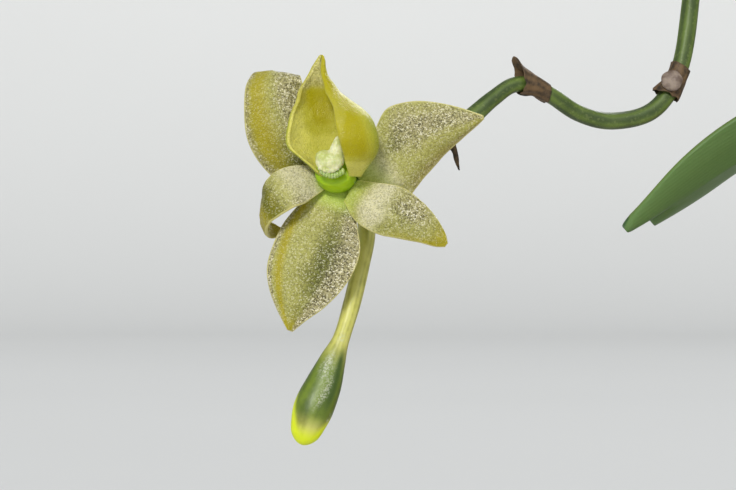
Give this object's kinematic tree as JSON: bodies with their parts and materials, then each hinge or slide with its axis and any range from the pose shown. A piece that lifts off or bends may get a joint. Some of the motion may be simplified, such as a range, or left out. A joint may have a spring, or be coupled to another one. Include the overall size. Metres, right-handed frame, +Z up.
{
  "type": "potted orchid",
  "caption": "Small potted orchid with a fan of narrow strap leaves, grey roots in bark, and a thin arching spike that ends in a yellow-green spurred flower.",
  "frame": {"origin": "middle of the pot's foot, on the surface that the pot stands on", "axes": "+Z up, +X to the right as seen from the flower's front, +Y away from the side that the flower faces"},
  "size_m": [0.1536, 0.066, 0.134],
  "materials": {
    "clay": "unglazed terracotta, matt, with pale lime bloom",
    "bark": "rough, dry fir bark chips",
    "root": "matt grey-green velamen",
    "sheath": "satin, ribbed leaf sheaths, straw-coloured low down",
    "leaf": "satin, leathery, dark green",
    "spike": "satin green stalk with brown papery bracts",
    "tepal": "thin, translucent, glistening with crystalline cells",
    "lip": "waxy yellow, glistening, with a green-tipped clear spur",
    "column": "wet-looking bright green",
    "anther": "white, finely papillose"
  },
  "bodies": {
    "root": {"column": "column", "anther_cap": "anther", "lip_with_spur": "lip", "petal_lower": "tepal", "petal_upper": "tepal", "stalk_with_ovary": "spike", "sepal_dorsal": "tepal", "sepal_right": "tepal", "sepal_left": "tepal", "flower_spike": "spike", "stem_with_sheaths": "sheath", "root_1": "root", "root_2": "root", "root_3": "root", "root_4": "root", "root_5": "root", "root_6": "root", "leaf_1": "leaf", "leaf_2": "leaf", "leaf_3": "leaf", "leaf_4": "leaf", "leaf_5": "leaf", "leaf_6": "leaf", "leaf_7": "leaf", "leaf_8": "leaf", "leaf_9": "leaf", "clay_pot": "clay", "bark_fill": "bark"}
  },
  "joints": []
}
